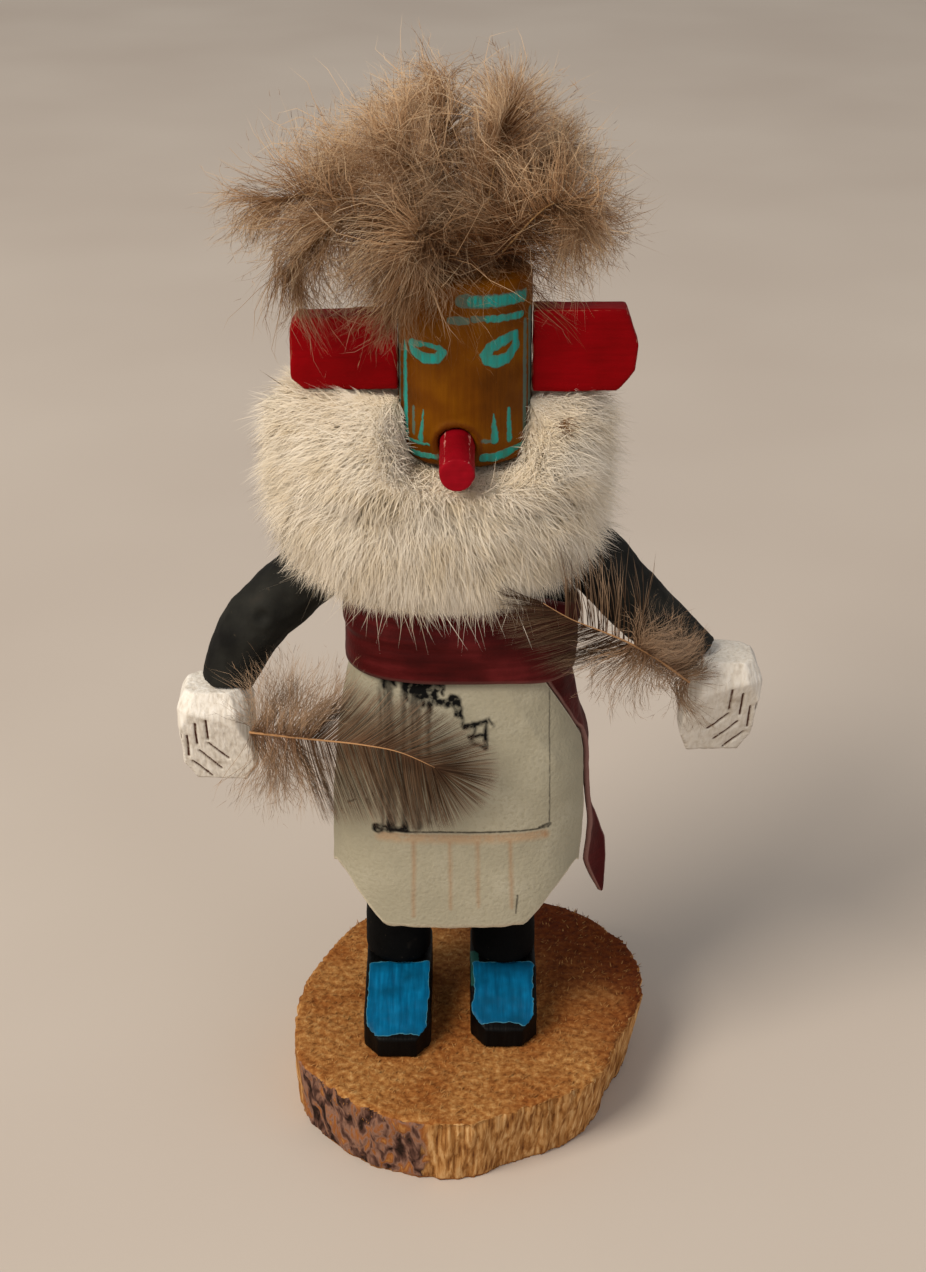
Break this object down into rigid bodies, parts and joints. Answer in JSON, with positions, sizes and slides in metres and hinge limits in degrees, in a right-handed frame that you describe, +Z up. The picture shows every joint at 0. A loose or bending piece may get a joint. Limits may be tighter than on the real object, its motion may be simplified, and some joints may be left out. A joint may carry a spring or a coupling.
{
  "type": "kachina doll",
  "caption": "Carved wooden kachina doll with painted mask, snout and ears, fur ruff, feather headdress, leather kilt and sash, standing on a slice of log.",
  "frame": {"origin": "middle of the log slice's underside", "axes": "+Z up, the figure faces -Y, its right hand is on the -X side"},
  "size_m": [0.1306, 0.0907, 0.2485],
  "materials": {
    "sawn_wood": "rough sawn end grain, unfinished, with bark residue on the side",
    "black_paint": "carved wood under matt black paint",
    "boot_paint": "carved wood, black with blue brushed uppers",
    "white_paint": "knife-cut wood under thin matt white paint",
    "ochre_paint": "carved wood, ochre brown paint with turquoise brush marks",
    "red_paint": "carved wood under satin crimson paint",
    "cream_leather": "thin cream hide, flesh side napped, painted in black and orange",
    "maroon_leather": "smooth dyed leather with pale cut edges",
    "rabbit_fur": "cream rabbit fur on its hide",
    "down_feather": "brown body feathers, downy at the base"
  },
  "bodies": {
    "root": {"base_slice": "sawn_wood", "body": "black_paint", "boot_right": "boot_paint", "boot_left": "boot_paint", "arm_right": "black_paint", "hand_right": "white_paint", "arm_left": "black_paint", "hand_left": "white_paint", "kilt": "cream_leather", "sash": "maroon_leather", "fur_ruff": "rabbit_fur", "head": "ochre_paint", "ear_right": "red_paint", "ear_left": "red_paint", "snout": "red_paint", "hand_feather_right": "down_feather", "hand_feather_left": "down_feather", "headdress_feather_1": "down_feather", "headdress_feather_2": "down_feather", "headdress_feather_3": "down_feather", "headdress_feather_4": "down_feather", "headdress_feather_5": "down_feather", "headdress_feather_6": "down_feather", "headdress_feather_7": "down_feather", "headdress_feather_8": "down_feather", "headdress_feather_9": "down_feather", "headdress_feather_10": "down_feather", "headdress_feather_11": "down_feather", "headdress_feather_12": "down_feather"}
  },
  "joints": []
}
